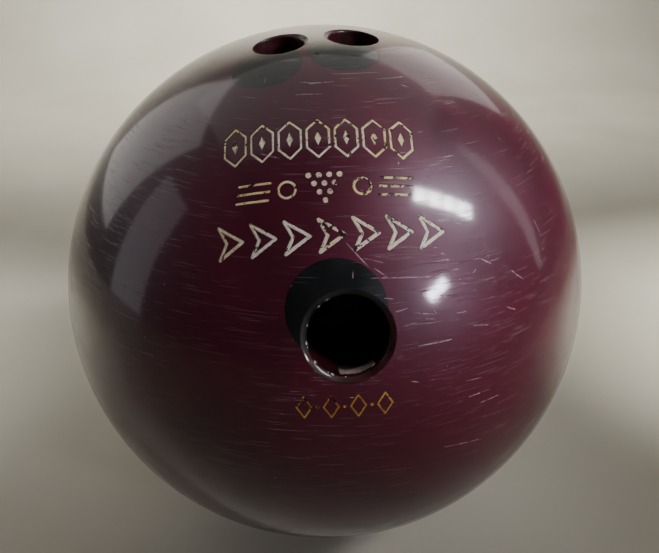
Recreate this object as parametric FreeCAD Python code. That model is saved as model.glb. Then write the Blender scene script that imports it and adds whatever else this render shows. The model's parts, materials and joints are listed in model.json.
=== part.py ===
import FreeCAD, Part
import math
import os

from FreeCAD import Placement, Rotation, Vector

# A ten-pin bowling ball that has been plugged and drilled again for a new grip.
# Millimetres and degrees. Origin at the centre of the ball, +Z up as the ball lies,
# thumb hole facing -Y and a little up, finger holes near the top.
# Distances from hole to hole are measured along the surface of the ball.

# ---------------------------------------------------------------- ball
ball_diameter = 217.2
cover_thickness = 19.0
weight_block_diameter = 100.0
weight_block_thickness = 30.0

# ---------------------------------------------------------------- present grip
thumb_elevation = 18.36
thumb_bore_diameter = 24.4
thumb_bore_depth = 70.0
thumb_bevel_width = 2.1
thumb_bevel_depth = 1.9
finger_bore_diameter = 18.2
finger_bore_depth = 57.0
finger_bevel_width = 0.8
finger_bevel_depth = 0.8
finger_outward_pitch = 6.35
left_span = 94.5
right_span = 97.6
bridge = 9.2
grip_lean = -2.65
drill_point_depth = 2.5

# ---------------------------------------------------------------- first grip, now plugged
old_thumb_offset = 8.8
old_thumb_bearing = -22.1
old_thumb_diameter = 30.2
old_thumb_depth = 64.0
old_finger_diameter = 23.8
old_finger_depth = 44.0
old_finger_outward_pitch = 11.0
old_left_span = 63.9
old_right_span = 68.1
old_bridge = 2.9
old_grip_lean = -5.6

# ---------------------------------------------------------------- tape in the thumb hole
tape_width = 11.6
tape_length = 10.0
tape_thickness = 0.2
tape_below_bevel = 0.6
tape_bearing = 165.0

# ---------------------------------------------------------------- engraving, filled with paint
engraving_depth = 0.5
fill_recess = 0.12
figure_margin = 1.0

upper_row_distance = 61.9
upper_row_bearing = -6.5
upper_row_tilt = 3.8
upper_figure_count = 7
upper_figure_pitch = 8.6
upper_figure_width = 6.8
upper_figure_height = 13.4
upper_figure_shoulder = 3.4
upper_stroke = 0.85
upper_core_width = 2.2
upper_core_height = 5.6

middle_row_distance = 45.1
middle_row_bearing = -7.1
middle_row_tilt = 3.2
rack_rows = 4
rack_pitch = 3.1
rack_dot_diameter = 1.9
middle_ring_diameter = 6.0
middle_ring_offset = 11.2
middle_bar_length = 10.5
middle_bar_offset = 21.4
middle_bar_lines = 3
middle_bar_line_pitch = 2.7
middle_bar_shift = 0.5
middle_stroke = 0.9

lower_row_distance = 30.4
lower_row_bearing = -7.4
lower_row_tilt = 2.8
lower_figure_count = 7
lower_figure_pitch = 10.1
lower_figure_width = 7.4
lower_figure_height = 9.6
lower_figure_notch = 2.4
lower_stroke = 1.15

owner_row_distance = 21.8
owner_row_bearing = -176.5
owner_row_tilt = 1.3
owner_figure_count = 4
owner_figure_pitch = 8.2
owner_figure_width = 4.6
owner_figure_height = 7.2
owner_dot_diameter = 1.1
owner_stroke = 0.6

# ---------------------------------------------------------------- worked-out sizes
ball_radius = ball_diameter / 2
inner_radius = ball_radius - cover_thickness
cutter_reach = 6.0
centre = Vector(0, 0, 0)


def unit(vector):
    result = Vector(vector)
    result.normalize()
    return result


def compass(place):
    # Unit tangents at a place on the ball: up the ball and to the right.
    rightward = unit(Vector(0, 0, 1).cross(place))
    upward = unit(place.cross(rightward))
    return upward, rightward


def step_off(place, bearing, distance):
    # Walk along the surface from a place, bearing 0 is up and 90 is right.
    upward, rightward = compass(place)
    turn = math.radians(bearing)
    toward = upward * math.cos(turn) + rightward * math.sin(turn)
    angle = distance / ball_radius
    return unit(place * math.cos(angle) + toward * math.sin(angle))


def finger_places(thumb_place, lean, left_reach, right_reach, gap):
    # The three hole centres make a spherical triangle with these three sides.
    left_side = left_reach / ball_radius
    right_side = right_reach / ball_radius
    gap_side = gap / ball_radius
    cosine = math.cos(gap_side) - math.cos(left_side) * math.cos(right_side)
    cosine = cosine / (math.sin(left_side) * math.sin(right_side))
    spread = math.degrees(math.acos(cosine))
    left_place = step_off(thumb_place, lean - spread / 2, left_reach)
    right_place = step_off(thumb_place, lean + spread / 2, right_reach)
    return left_place, right_place


def pitched_axis(place, neighbour, pitch):
    # The hole's line misses the ball's centre by the pitch, away from its neighbour.
    away = place - neighbour
    away = unit(away - place * away.dot(place))
    tilt = math.asin(pitch / ball_radius)
    return unit(place * math.cos(tilt) - away * math.sin(tilt))


def sphere(radius):
    # Poles on the X axis and the seam at the back, clear of all the holes.
    solid = Part.makeSphere(radius)
    solid.rotate(centre, Vector(1, 1, 1), 120)
    return solid


def set_along(shape, foot, axis):
    placed = shape.copy()
    placed.Placement = Placement(foot, Rotation(Vector(0, 0, 1), axis))
    return placed


def bevel_start(diameter, bevel_width, bevel_depth):
    # Depth below the ball's skin at which the straight wall begins.
    mouth_radius = diameter / 2 + bevel_width
    sag = ball_radius - math.sqrt(ball_radius ** 2 - mouth_radius ** 2)
    return sag + bevel_depth


def hole_cutter(place, axis, diameter, depth, bevel_width, bevel_depth):
    radius = diameter / 2
    profile = [Vector(0, 0, -depth - drill_point_depth), Vector(radius, 0, -depth)]
    if bevel_width > 0:
        start = bevel_start(diameter, bevel_width, bevel_depth)
        rise = (cutter_reach + bevel_width) * bevel_depth / bevel_width
        profile.append(Vector(radius, 0, -start))
        profile.append(Vector(radius + bevel_width + cutter_reach, 0, rise - start))
    else:
        profile.append(Vector(radius, 0, cutter_reach))
    profile.append(Vector(0, 0, profile[-1].z))
    profile.append(profile[0])
    face = Part.Face(Part.makePolygon(profile))
    solid = face.revolve(centre, Vector(0, 0, 1), 360)
    return set_along(solid, place * ball_radius, axis)


# ---------------------------------------------------------------- where the holes are
thumb_turn = math.radians(thumb_elevation)
thumb_place = Vector(0, -math.cos(thumb_turn), math.sin(thumb_turn))
half_bores = (thumb_bore_diameter + finger_bore_diameter) / 2
left_place, right_place = finger_places(
    thumb_place,
    grip_lean,
    left_span + half_bores,
    right_span + half_bores,
    bridge + finger_bore_diameter,
)
thumb_axis = thumb_place
left_axis = pitched_axis(left_place, right_place, finger_outward_pitch)
right_axis = pitched_axis(right_place, left_place, finger_outward_pitch)

old_thumb_place = step_off(thumb_place, old_thumb_bearing, old_thumb_offset)
old_half_bores = (old_thumb_diameter + old_finger_diameter) / 2
old_left_place, old_right_place = finger_places(
    old_thumb_place,
    old_grip_lean,
    old_left_span + old_half_bores,
    old_right_span + old_half_bores,
    old_bridge + old_finger_diameter,
)
old_left_axis = pitched_axis(old_left_place, old_right_place, old_finger_outward_pitch)
old_right_axis = pitched_axis(old_right_place, old_left_place, old_finger_outward_pitch)

thumb_bore = hole_cutter(
    thumb_place, thumb_axis, thumb_bore_diameter, thumb_bore_depth,
    thumb_bevel_width, thumb_bevel_depth,
)
left_bore = hole_cutter(
    left_place, left_axis, finger_bore_diameter, finger_bore_depth,
    finger_bevel_width, finger_bevel_depth,
)
right_bore = hole_cutter(
    right_place, right_axis, finger_bore_diameter, finger_bore_depth,
    finger_bevel_width, finger_bevel_depth,
)
bores = [thumb_bore, left_bore, right_bore]

old_thumb_hole = hole_cutter(
    old_thumb_place, old_thumb_place, old_thumb_diameter, old_thumb_depth, 0, 0)
old_left_hole = hole_cutter(
    old_left_place, old_left_axis, old_finger_diameter, old_finger_depth, 0, 0)
old_right_hole = hole_cutter(
    old_right_place, old_right_axis, old_finger_diameter, old_finger_depth, 0, 0)
old_holes = [old_thumb_hole, old_left_hole, old_right_hole]


# ---------------------------------------------------------------- engraved figures
def closed_wire(points):
    corners = [Vector(x, y, 0) for x, y in points]
    corners.append(corners[0])
    return Part.makePolygon(corners)


def outlined(points, stroke):
    # The cutter follows a closed line, so corners are round outside, sharp inside.
    wire = closed_wire(points)
    outer = Part.Face(wire.makeOffset2D(stroke / 2, 0))
    inner = Part.Face(wire.makeOffset2D(-stroke / 2, 2))
    return outer.cut(inner)


def disc(diameter):
    return Part.Face(Part.Wire(Part.makeCircle(diameter / 2)))


def ring(diameter, stroke):
    return disc(diameter).cut(disc(diameter - 2 * stroke))


def bar(length, stroke):
    straight = length - stroke
    half = stroke / 2
    top = Part.makeLine(Vector(-straight / 2, half, 0), Vector(straight / 2, half, 0))
    right_end = Part.Arc(
        Vector(straight / 2, half, 0),
        Vector(straight / 2 + half, 0, 0),
        Vector(straight / 2, -half, 0),
    ).toShape()
    under = Part.makeLine(Vector(straight / 2, -half, 0), Vector(-straight / 2, -half, 0))
    left_end = Part.Arc(
        Vector(-straight / 2, -half, 0),
        Vector(-straight / 2 - half, 0, 0),
        Vector(-straight / 2, half, 0),
    ).toShape()
    return Part.Face(Part.Wire([top, right_end, under, left_end]))


def lozenge(width, height):
    return [(0, height / 2), (width / 2, 0), (0, -height / 2), (-width / 2, 0)]


def long_hexagon(width, height, shoulder):
    side = height / 2 - shoulder
    return [
        (0, height / 2), (width / 2, side), (width / 2, -side),
        (0, -height / 2), (-width / 2, -side), (-width / 2, side),
    ]


def lane_arrow(width, height, notch):
    return [
        (width / 2, 0), (-width / 2, -height / 2),
        (-width / 2 + notch, 0), (-width / 2, height / 2),
    ]


class Row:
    # A line of figures across the ball, each one flat to the skin at its own place.
    def __init__(self, distance, bearing, tilt):
        self.middle = step_off(thumb_place, bearing, distance)
        upward, rightward = compass(self.middle)
        turn = math.radians(tilt)
        self.along = rightward * math.cos(turn) + upward * math.sin(turn)
        self.prisms = []

    def add(self, face, offset, rise=0.0):
        angle = offset / ball_radius
        place = self.middle * math.cos(angle) + self.along * math.sin(angle)
        along = self.along * math.cos(angle) - self.middle * math.sin(angle)
        across = place.cross(along)
        reach = 2 * engraving_depth + figure_margin
        prism = face.extrude(Vector(0, 0, 2 * reach))
        prism.translate(Vector(0, rise, -reach))
        turn = Rotation(along, across, place, "ZXY")
        prism.Placement = Placement(place * ball_radius, turn).multiply(prism.Placement)
        self.prisms.append(prism)

    def grooves(self):
        floor = sphere(ball_radius - engraving_depth)
        return [prism.cut([floor] + old_holes + bores) for prism in self.prisms]

    def fills(self):
        top = sphere(ball_radius - fill_recess)
        solids = []
        for groove in self.grooves():
            solids.extend(groove.common(top).Solids)
        return solids


upper_row = Row(upper_row_distance, upper_row_bearing, upper_row_tilt)
upper_frame = long_hexagon(upper_figure_width, upper_figure_height, upper_figure_shoulder)
upper_core = lozenge(upper_core_width, upper_core_height)
for index in range(upper_figure_count):
    offset = (index - (upper_figure_count - 1) / 2) * upper_figure_pitch
    upper_row.add(outlined(upper_frame, upper_stroke), offset)
    upper_row.add(Part.Face(closed_wire(upper_core)), offset)

middle_row = Row(middle_row_distance, middle_row_bearing, middle_row_tilt)
rack_row_step = rack_pitch * math.sqrt(3) / 2
for line in range(rack_rows):
    height = ((rack_rows - 1) / 2 - line) * rack_row_step
    for index in range(rack_rows - line):
        offset = (index - (rack_rows - line - 1) / 2) * rack_pitch
        middle_row.add(disc(rack_dot_diameter), offset, height)
for side in (-1, 1):
    middle_row.add(ring(middle_ring_diameter, middle_stroke), side * middle_ring_offset)
    for line in range(middle_bar_lines):
        step = (middle_bar_lines - 1) / 2 - line
        offset = side * middle_bar_offset + step * middle_bar_shift
        middle_row.add(bar(middle_bar_length, middle_stroke), offset, step * middle_bar_line_pitch)

lower_row = Row(lower_row_distance, lower_row_bearing, lower_row_tilt)
arrow = lane_arrow(lower_figure_width, lower_figure_height, lower_figure_notch)
for index in range(lower_figure_count):
    offset = (index - (lower_figure_count - 1) / 2) * lower_figure_pitch
    lower_row.add(outlined(arrow, lower_stroke), offset)

owner_row = Row(owner_row_distance, owner_row_bearing, owner_row_tilt)
owner_lozenge = lozenge(owner_figure_width, owner_figure_height)
for index in range(owner_figure_count):
    offset = (index - (owner_figure_count - 1) / 2) * owner_figure_pitch
    owner_row.add(outlined(owner_lozenge, owner_stroke), offset)
for index in range(owner_figure_count - 1):
    offset = (index - (owner_figure_count - 2) / 2) * owner_figure_pitch
    owner_row.add(disc(owner_dot_diameter), offset)

# ---------------------------------------------------------------- the pieces
ball = sphere(ball_radius)
inside = sphere(inner_radius)

grooves = []
for row in (upper_row, middle_row, lower_row, owner_row):
    grooves.extend(row.grooves())
cover_shell = ball.cut([inside] + old_holes + bores)
cover_shell = cover_shell.cut(grooves)

block_foot = middle_row.middle * (inner_radius - weight_block_thickness)
block_blank = Part.makeCylinder(
    weight_block_diameter / 2, weight_block_thickness + cutter_reach,
    block_foot, middle_row.middle,
)
weight_block = block_blank.common(inside).cut(old_holes + bores)
inner_core = inside.cut([block_blank] + old_holes + bores)

thumb_plug = old_thumb_hole.common(ball).cut(bores)
left_finger_plug = old_left_hole.common(ball).cut(bores + [old_thumb_hole])
right_finger_plug = old_right_hole.common(ball).cut(bores + [old_thumb_hole, old_left_hole])

# The tape lies on the wall of the thumb hole, on the side away from the fingers.
thumb_start = bevel_start(thumb_bore_diameter, thumb_bevel_width, thumb_bevel_depth)
thumb_radius = thumb_bore_diameter / 2
tape_top = ball_radius - thumb_start - tape_below_bevel
thumb_up, thumb_right = compass(thumb_place)
tape_turn = math.radians(tape_bearing)
tape_side = thumb_up * math.cos(tape_turn) + thumb_right * math.sin(tape_turn)
tape_across = thumb_axis.cross(tape_side)
tape_foot = thumb_axis * (tape_top - tape_length)
tape_tube = Part.makeCylinder(thumb_radius, tape_length, tape_foot, thumb_axis).cut(
    Part.makeCylinder(thumb_radius - tape_thickness, tape_length, tape_foot, thumb_axis))
tape_blank = Part.makeBox(thumb_radius, tape_width, tape_length)
tape_blank.translate(Vector(0, -tape_width / 2, 0))
tape_blank.Placement = Placement(
    tape_foot, Rotation(tape_side, tape_across, thumb_axis, "ZXY")
).multiply(tape_blank.Placement)
thumb_tape = tape_tube.common(tape_blank)

pieces = {
    "cover_shell": cover_shell.Solids,
    "inner_core": inner_core.Solids,
    "weight_block": weight_block.Solids,
    "thumb_plug": thumb_plug.Solids,
    "left_finger_plug": left_finger_plug.Solids,
    "right_finger_plug": right_finger_plug.Solids,
    "upper_emblem_paint": upper_row.fills(),
    "middle_emblem_paint": middle_row.fills(),
    "lower_emblem_paint": lower_row.fills(),
    "owner_mark_paint": owner_row.fills(),
    "thumb_tape": thumb_tape.Solids,
}

os.makedirs("parts", exist_ok=True)
for name, solids in pieces.items():
    shape = solids[0] if len(solids) == 1 else Part.makeCompound(solids)
    print(name, len(solids), "solids", round(shape.Volume, 2), "mm3",
          "valid" if shape.isValid() else "NOT VALID")
    shape.exportStep("parts/" + name + ".step")


def report(label, place, axis, diameter, depth, bevel_width, bevel_depth):
    # Middle and length of the straight wall, as a gauge would find them.
    start = bevel_start(diameter, bevel_width, bevel_depth)
    middle = place * ball_radius - axis * (start + depth) / 2
    print(label, "middle", [round(value, 4) for value in middle],
          "axis", [round(value, 6) for value in axis],
          "radius", diameter / 2, "length", round(depth - start, 3))


report("thumb_hole", thumb_place, thumb_axis, thumb_bore_diameter, thumb_bore_depth,
       thumb_bevel_width, thumb_bevel_depth)
report("left_finger_hole", left_place, left_axis, finger_bore_diameter,
       finger_bore_depth, finger_bevel_width, finger_bevel_depth)
report("right_finger_hole", right_place, right_axis, finger_bore_diameter,
       finger_bore_depth, finger_bevel_width, finger_bevel_depth)
for label, place in (("old_thumb", old_thumb_place), ("old_left", old_left_place),
                     ("old_right", old_right_place)):
    print(label, [round(value, 4) for value in place])
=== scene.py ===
import json
import math

import bmesh
import bpy
from mathutils import Matrix, Vector, noise

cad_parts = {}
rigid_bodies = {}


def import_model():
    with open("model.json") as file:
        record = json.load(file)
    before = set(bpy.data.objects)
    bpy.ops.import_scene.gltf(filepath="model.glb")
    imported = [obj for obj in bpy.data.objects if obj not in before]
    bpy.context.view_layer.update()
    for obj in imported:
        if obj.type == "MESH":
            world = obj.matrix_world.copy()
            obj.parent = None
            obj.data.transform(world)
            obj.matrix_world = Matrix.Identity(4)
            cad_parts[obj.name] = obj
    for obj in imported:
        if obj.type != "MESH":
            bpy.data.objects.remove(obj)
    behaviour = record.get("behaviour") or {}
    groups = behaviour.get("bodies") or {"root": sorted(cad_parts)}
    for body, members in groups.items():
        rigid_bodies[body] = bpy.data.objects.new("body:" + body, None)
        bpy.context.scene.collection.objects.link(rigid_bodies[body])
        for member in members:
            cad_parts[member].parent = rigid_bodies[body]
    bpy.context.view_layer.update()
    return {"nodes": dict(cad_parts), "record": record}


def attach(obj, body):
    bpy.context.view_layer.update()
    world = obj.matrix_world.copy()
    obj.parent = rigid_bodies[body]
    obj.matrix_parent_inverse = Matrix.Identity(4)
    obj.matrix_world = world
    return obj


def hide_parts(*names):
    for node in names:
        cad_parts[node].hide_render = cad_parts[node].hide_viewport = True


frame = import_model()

mm = 0.001                     # every size in a dictionary is in millimetres
scene = bpy.context.scene
mounts = {mount["name"]: mount for mount in frame["record"]["mounts"]}
ballRadius = -mounts["ball_rest"]["pos_m"][2]
upZ = Vector((0, 0, 1))
noise.seed_set(4)              # noise_vector follows the clock otherwise

toolShelf = bpy.data.collections.new("toolShelf")      # cutters wait here and are removed at the end
scene.collection.children.link(toolShelf)


# places on the ball

def compass(place):
    rightward = upZ.cross(place).normalized()
    return place.cross(rightward).normalized(), rightward


def around(place, bearing):
    upward, rightward = compass(place)
    turn = math.radians(bearing)
    return upward * math.cos(turn) + rightward * math.sin(turn)


def stepOff(place, bearing, distance):
    angle = distance * mm / ballRadius
    return (place * math.cos(angle) + around(place, bearing) * math.sin(angle)).normalized()


def fingerPlaces(thumbPlace, lean, leftReach, rightReach, gap):
    a, b, c = (side * mm / ballRadius for side in (leftReach, rightReach, gap))
    cosine = (math.cos(c) - math.cos(a) * math.cos(b)) / (math.sin(a) * math.sin(b))
    spread = math.degrees(math.acos(cosine))
    return (stepOff(thumbPlace, lean - spread / 2, leftReach),
            stepOff(thumbPlace, lean + spread / 2, rightReach))


def pitchedAxis(place, neighbour, pitch):
    away = place - neighbour
    away = (away - place * away.dot(place)).normalized()
    tilt = math.asin(pitch * mm / ballRadius)
    return (place * math.cos(tilt) - away * math.sin(tilt)).normalized()


def drilledHole(name):
    # a hole's mouth, axis, radius and depth, all from its mount
    mount = mounts[name]
    axis = Vector(mount["axis"]).normalized()
    middle = Vector(mount["pos_m"])
    along = middle.dot(axis)
    rise = -along + math.sqrt(along ** 2 - middle.length_squared + ballRadius ** 2)
    mouth = middle + axis * rise
    radius = mount["dims"]["r_mm"]
    return {"mouth": mouth, "axis": axis, "radius": radius,
            "depth": rise / mm + mount["dims"]["length_mm"] / 2,
            "wallStart": rise / mm - mount["dims"]["length_mm"] / 2}


thumbHole = drilledHole("thumb_hole")
leftHole = drilledHole("left_finger_hole")
rightHole = drilledHole("right_finger_hole")
thumbPlace = thumbHole["mouth"].normalized()

oldGrip = {"thumbOffset": 8.8, "thumbBearing": -22.1, "thumbDiameter": 30.2, "thumbDepth": 64.0,
           "fingerDiameter": 23.8, "fingerDepth": 44.0, "outwardPitch": 11.0,
           "leftSpan": 63.9, "rightSpan": 68.1, "bridge": 2.9, "lean": -5.6, "drillPoint": 2.5}
oldThumbPlace = stepOff(thumbPlace, oldGrip["thumbBearing"], oldGrip["thumbOffset"])
oldHalves = (oldGrip["thumbDiameter"] + oldGrip["fingerDiameter"]) / 2
oldLeftPlace, oldRightPlace = fingerPlaces(
    oldThumbPlace, oldGrip["lean"], oldGrip["leftSpan"] + oldHalves,
    oldGrip["rightSpan"] + oldHalves, oldGrip["bridge"] + oldGrip["fingerDiameter"])
oldLeftAxis = pitchedAxis(oldLeftPlace, oldRightPlace, oldGrip["outwardPitch"])
oldRightAxis = pitchedAxis(oldRightPlace, oldLeftPlace, oldGrip["outwardPitch"])

tape = {"width": 11.6, "length": 10.0, "thickness": 0.17, "belowBevel": 0.6, "bearing": 165.0,
        "columns": 44, "rows": 36, "ragged": 1.5}


# small helpers for meshes and node trees

def newPiece(name, data, shelf=None):
    piece = bpy.data.objects.new(name, data)
    (shelf or scene.collection).objects.link(piece)
    return piece


def meshObject(name, points, faces, material=None, shelf=None):
    mesh = bpy.data.meshes.new(name)
    mesh.from_pydata([tuple(point) for point in points], [], faces)
    if material:
        mesh.materials.append(material)
    return newPiece(name, mesh, shelf)


def roundMesh(name, radius, detail, material):
    bm = bmesh.new()
    bmesh.ops.create_icosphere(bm, subdivisions=detail, radius=radius)
    mesh = bpy.data.meshes.new(name)
    bm.to_mesh(mesh)
    bm.free()
    mesh.materials.append(material)
    return mesh


def tidyMesh(piece, mergeBelow=2e-7):
    bm = bmesh.new()
    bm.from_mesh(piece.data)
    bmesh.ops.remove_doubles(bm, verts=bm.verts, dist=mergeBelow)
    bmesh.ops.dissolve_degenerate(bm, edges=bm.edges, dist=mergeBelow)
    bmesh.ops.recalc_face_normals(bm, faces=bm.faces)
    bm.to_mesh(piece.data)
    bm.free()
    return piece


def feed(tree, node, feeds):
    # each input takes a value, or the socket that drives it
    for label, value in feeds.items():
        if isinstance(value, bpy.types.NodeSocket):
            tree.links.new(value, node.inputs[label])
        else:
            node.inputs[label].default_value = value


def addNode(tree, kind, feeds=None, **settings):
    node = tree.nodes.new(kind)
    for key, value in settings.items():
        setattr(node, key, value)
    feed(tree, node, feeds or {})
    return node


def newTree(name, inputs):
    tree = bpy.data.node_groups.new(name, "GeometryNodeTree")
    for label, kind in inputs:
        tree.interface.new_socket(label, in_out="INPUT", socket_type="NodeSocket" + kind)
    tree.interface.new_socket("Geometry", in_out="OUTPUT", socket_type="NodeSocketGeometry")
    return tree, addNode(tree, "NodeGroupInput").outputs, addNode(tree, "NodeGroupOutput")


def runTree(name, tree, values, shelf=None):
    # an empty object that the tree fills
    piece = newPiece(name, bpy.data.meshes.new(name), shelf)
    modifier = piece.modifiers.new(tree.name, "NODES")
    modifier.node_group = tree
    sockets = {item.name: item.identifier for item in tree.interface.items_tree
               if item.item_type == "SOCKET" and item.in_out == "INPUT"}
    for label, value in values.items():
        modifier[sockets[label]] = value
    return piece


def settle(piece):
    # the evaluated result becomes the piece's own plain mesh
    bpy.context.view_layer.update()
    graph = bpy.context.evaluated_depsgraph_get()
    mesh = bpy.data.meshes.new_from_object(piece.evaluated_get(graph))
    mesh.name = piece.name
    piece.modifiers.clear()
    piece.data = mesh
    return piece


def shadeSmooth(mesh, sharpAngle):
    for polygon in mesh.polygons:
        polygon.use_smooth = True
    mesh.set_sharp_from_angle(angle=math.radians(sharpAngle))


def cappedFaces(rings, size):
    # a closed body whose points are one end, then the rings, then the other end
    faces = []
    for step in range(size):
        after = (step + 1) % size
        faces.append((0, 1 + after, 1 + step))
        for ring in range(rings - 1):
            low, high = 1 + ring * size, 1 + (ring + 1) * size
            faces.append((low + step, low + after, high + after, high + step))
        last = 1 + (rings - 1) * size
        faces.append((last + step, last + after, last + size))
    return faces


def sweptFaces(size, total, closed=True):
    # a section of so many points, carried along so many stations
    faces = []
    for station in range(total if closed else total - 1):
        here, there = station * size, (station + 1) % total * size
        for corner in range(size):
            after = (corner + 1) % size
            faces.append((here + corner, here + after, there + after, there + corner))
    return faces if closed else faces + [tuple(range(size)), tuple(range((total - 1) * size, total * size))]


def wander(*spot):
    return noise.noise(Vector(spot))


def mathNode(tree, operation, first, second, clamp=False):
    node = addNode(tree, "ShaderNodeMath", {0: first, 1: second}, operation=operation, use_clamp=clamp)
    return node.outputs[0]


# materials

def newMaterial(name):
    material = bpy.data.materials.new(name)
    material.use_nodes = True
    tree = material.node_tree
    shader = tree.nodes["Principled BSDF"]
    coordinates = addNode(tree, "ShaderNodeTexCoord").outputs["Object"]
    return material, tree, shader, coordinates


def noiseField(tree, coordinates, scale, detail=2.0, roughness=0.5, distortion=0.0):
    node = addNode(tree, "ShaderNodeTexNoise", {
        "Vector": coordinates, "Scale": scale, "Detail": detail, "Roughness": roughness,
        "Distortion": distortion})
    return node.outputs["Fac"]


def span(tree, value, fromLow, fromHigh, toLow=0.0, toHigh=1.0):
    node = addNode(tree, "ShaderNodeMapRange", {
        "Value": value, "From Min": fromLow, "From Max": fromHigh, "To Min": toLow, "To Max": toHigh})
    return node.outputs["Result"]


def mixColour(tree, factor, first, second):
    first, second = ((*colour, 1.0) if isinstance(colour, tuple) else colour for colour in (first, second))
    return addNode(tree, "ShaderNodeMix", {0: factor, 6: first, 7: second}, data_type="RGBA").outputs[2]


def turned(tree, coordinates, degrees, scale=(1, 1, 1)):
    node = addNode(tree, "ShaderNodeMapping", {
        "Vector": coordinates, "Rotation": [math.radians(angle) for angle in degrees], "Scale": scale})
    return node.outputs["Vector"]


def bumped(tree, shader, height, distance, coat=False):
    normal = addNode(tree, "ShaderNodeBump", {"Height": height, "Distance": distance}).outputs["Normal"]
    feed(tree, shader, {"Normal": normal, "Coat Normal": normal} if coat else {"Normal": normal})


def hairlines(tree, coordinates, look):
    # faint rubbed lines: stretched noise in a few directions, broken up by a wide one
    total = None
    for degrees, density in look["directions"]:
        fine = turned(tree, coordinates, degrees, look["stretch"])
        line = span(tree, noiseField(tree, fine, 1.0, 1.0), density, density + 0.05)
        patch = noiseField(tree, turned(tree, coordinates, degrees), look["patch"], 2.0)
        line = mathNode(tree, "MULTIPLY", line, span(tree, patch, 0.46, 0.62))
        total = line if total is None else mathNode(tree, "MAXIMUM", total, line)
    return total


def specks(tree, coordinates, scale, size, keep):
    cells = addNode(tree, "ShaderNodeTexVoronoi", {"Vector": coordinates, "Scale": scale})
    dot = span(tree, cells.outputs["Distance"], size, size * 0.6)
    few = span(tree, noiseField(tree, coordinates, scale * 0.31, 0.0), keep, keep + 0.04)
    return mathNode(tree, "MULTIPLY", dot, few)


def wornMarks(tree, coordinates, look):
    dots = specks(tree, coordinates, *look["specks"])
    return mathNode(tree, "ADD", hairlines(tree, coordinates, look), dots, clamp=True)


# each look gives its noise scales per metre, and "gloss" holds the shader's own fixed inputs
polyesterLook = {
    "dark": (0.038, 0.0006, 0.0066), "light": (0.084, 0.0011, 0.0150), "rubbed": (0.26, 0.15, 0.20),
    "cloud": (11.0, 3.0, 0.55, 0.8), "cloudSpan": (0.38, 0.66),
    "hazeNoise": (30.0, 6.0, 0.6), "haze": (0.40, 0.48), "wornHaze": 0.15,
    "waveNoise": (55.0, 2.0), "wave": 0.00003, "scratchDepth": 2.2,
    "directions": [((4, 3, 0), 0.67), ((-14, 9, 20), 0.69), ((24, -12, 60), 0.70),
                   ((78, 22, 10), 0.71), ((35, 70, 0), 0.72)],
    "stretch": (60, 60, 3000), "patch": 26.0, "specks": (190.0, 0.09, 0.56), "wear": 0.22,
    "gloss": {"IOR": 1.54, "Specular IOR Level": 0.42, "Specular Tint": (0.90, 0.84, 1.0, 1.0),
              "Coat Weight": 0.8, "Coat Roughness": 0.10, "Coat IOR": 1.5},
}
plugLook = {
    "dark": (0.0018, 0.0020, 0.0022), "light": (0.0075, 0.0090, 0.0105), "rubbed": (0.16, 0.17, 0.19),
    "cloud": (60.0, 4.0), "cloudSpan": (0.4, 0.7),
    "hazeNoise": (70.0, 5.0), "haze": (0.26, 0.44), "wornHaze": 0.0,
    "waveNoise": (260.0, 3.0), "wave": 0.00002, "scratchDepth": 0.0,
    "directions": [((4, 3, 0), 0.67), ((80, 20, 10), 0.69), ((40, -30, 0), 0.69)],
    "stretch": (60, 60, 3000), "patch": 34.0, "specks": (240.0, 0.08, 0.55), "wear": 0.42,
    "gloss": {"Specular IOR Level": 0.42, "Coat Weight": 0.7, "Coat Roughness": 0.08},
}


def makeWornPlastic(name, look):
    # clouded plastic under a gloss, with hairlines and specks rubbed into both
    material, tree, shader, place = newMaterial(name)
    cloud = span(tree, noiseField(tree, place, *look["cloud"]), *look["cloudSpan"])
    colour = mixColour(tree, cloud, look["dark"], look["light"])
    wear = wornMarks(tree, place, look)
    haze = span(tree, noiseField(tree, place, *look["hazeNoise"]), 0.35, 0.7, *look["haze"])
    feed(tree, shader, {
        "Base Color": mixColour(tree, mathNode(tree, "MULTIPLY", wear, look["wear"]), colour, look["rubbed"]),
        "Roughness": mathNode(tree, "ADD", haze, mathNode(tree, "MULTIPLY", wear, look["wornHaze"])),
        **look["gloss"]})
    cuts = mathNode(tree, "MULTIPLY", wear, look["scratchDepth"])
    height = mathNode(tree, "SUBTRACT", noiseField(tree, place, *look["waveNoise"]), cuts)
    bumped(tree, shader, height, look["wave"], coat=True)
    return material


drilledLook = {
    "along": (18, 0, 0), "stretch": 60, "mottleScale": 240.0, "haze": (0.42, 0.62), "ridge": 0.00012,
    "gloss": {"Specular IOR Level": 0.30, "Coat Weight": 0.6, "Coat Roughness": 0.11},
}


def makeDrilledWall(name, dark, light, ringScale=1500.0):
    # cut plastic: fine rings left by the drill, and a dull body under a thin gloss
    look = drilledLook
    material, tree, shader, place = newMaterial(name)
    stretched = turned(tree, place, look["along"], (look["stretch"], ringScale, look["stretch"]))
    mottle = noiseField(tree, place, look["mottleScale"], 4.0)
    mixed = mathNode(tree, "ADD", noiseField(tree, stretched, 1.0, 2.0), mottle)
    mixed = mathNode(tree, "MULTIPLY", mixed, 0.5)
    feed(tree, shader, {
        "Base Color": mixColour(tree, span(tree, mixed, 0.4, 0.62), dark, light),
        "Roughness": span(tree, mottle, 0.3, 0.7, *look["haze"]), **look["gloss"]})
    bumped(tree, shader, mixed, look["ridge"])
    return material


brokenLook = {"grainScale": 420.0, "haze": (0.3, 0.6), "roughScale": 2600.0, "rough": 0.00004}


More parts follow.
